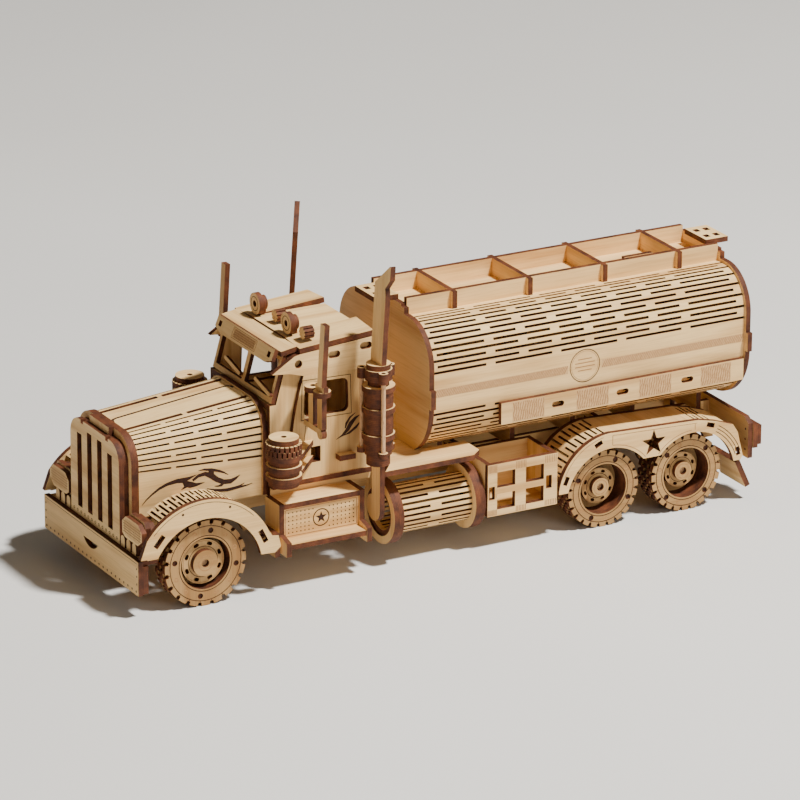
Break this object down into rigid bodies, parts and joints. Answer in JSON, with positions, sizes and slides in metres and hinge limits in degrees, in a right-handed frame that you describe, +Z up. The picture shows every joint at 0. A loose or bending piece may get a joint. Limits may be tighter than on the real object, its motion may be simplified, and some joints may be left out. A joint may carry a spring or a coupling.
{
  "type": "wooden tanker truck jigsaw model",
  "caption": "Laser-cut plywood 3-D jigsaw of a long-nosed tanker truck with kerf-bent tank and hood, turning wheels, steps, exhausts and a walkway on top.",
  "frame": {"origin": "on the table, under the middle of the truck's length and width", "axes": "+X towards the back of the truck, +Y towards its right-hand side, +Z up"},
  "size_m": [0.3256, 0.1082, 0.1454],
  "materials": {
    "birch_ply": "raw laser-cut sheet with dark scorched edges",
    "bent_ply": "raw sheet cut with rows of fine slits so that it bends",
    "beech_dowel": "raw turned dowel"
  },
  "bodies": {
    "truck": {"air_cleaners": "birch_ply", "bumper_boards": "birch_ply", "bumper_combs": "birch_ply", "bumper_shelf": "birch_ply", "cab_back": "birch_ply", "cab_eaves": "birch_ply", "cab_floor": "birch_ply", "cab_side_left": "birch_ply", "cab_side_right": "birch_ply", "chassis_crossmembers": "birch_ply", "chassis_rails": "birch_ply", "door_left": "birch_ply", "door_right": "birch_ply", "exhaust_left": "birch_ply", "exhaust_right": "birch_ply", "front_guard_inners": "birch_ply", "front_guard_sides": "birch_ply", "front_guard_tops": "bent_ply", "fuel_decks": "birch_ply", "fuel_tank_barrels": "bent_ply", "fuel_tank_rings": "birch_ply", "grille_face": "birch_ply", "grille_frame": "birch_ply", "head_lamps": "birch_ply", "hood_cover": "bent_ply", "hood_formers": "birch_ply", "mirrors": "birch_ply", "mudflaps": "birch_ply", "rear_guard_inners": "birch_ply", "rear_guard_sides": "birch_ply", "rear_guard_tops": "bent_ply", "roof_boards": "birch_ply", "roof_horns": "birch_ply", "roof_lights": "birch_ply", "step_boxes": "birch_ply", "sun_visor": "birch_ply", "tail_board": "birch_ply", "tail_lamps": "birch_ply", "tank_cradles": "birch_ply", "tank_front_plate": "birch_ply", "tank_rear_plate": "birch_ply", "tank_ribs": "birch_ply", "tank_skin": "bent_ply", "tank_skirts": "birch_ply", "tool_box_left": "birch_ply", "tool_box_right": "birch_ply", "walkway_boards": "birch_ply", "walkway_cross_boards": "birch_ply", "walkway_ends": "birch_ply", "windscreen_frame": "birch_ply", "wipers": "birch_ply"},
    "front_wheels": {"front_axle_dowel": "beech_dowel", "front_tyre_rings": "birch_ply", "front_hubs": "birch_ply"},
    "rear_wheels_1": {"rear_axle_dowel_1": "beech_dowel", "rear_tyre_rings_1": "birch_ply", "rear_hubs_1": "birch_ply"},
    "rear_wheels_2": {"rear_axle_dowel_2": "beech_dowel", "rear_tyre_rings_2": "birch_ply", "rear_hubs_2": "birch_ply"}
  },
  "joints": [
    {"name": "front_wheels_spin", "type": "hinge", "parent": "truck", "child": "front_wheels", "pos_m": [-0.1292, 0, 0.0201], "axis": [0, 1, 0], "continuous": true},
    {"name": "rear_wheels_1_spin", "type": "hinge", "parent": "truck", "child": "rear_wheels_1", "pos_m": [0.0748, 0, 0.0185], "axis": [0, 1, 0], "continuous": true},
    {"name": "rear_wheels_2_spin", "type": "hinge", "parent": "truck", "child": "rear_wheels_2", "pos_m": [0.1192, 0, 0.0185], "axis": [0, 1, 0], "continuous": true}
  ]
}
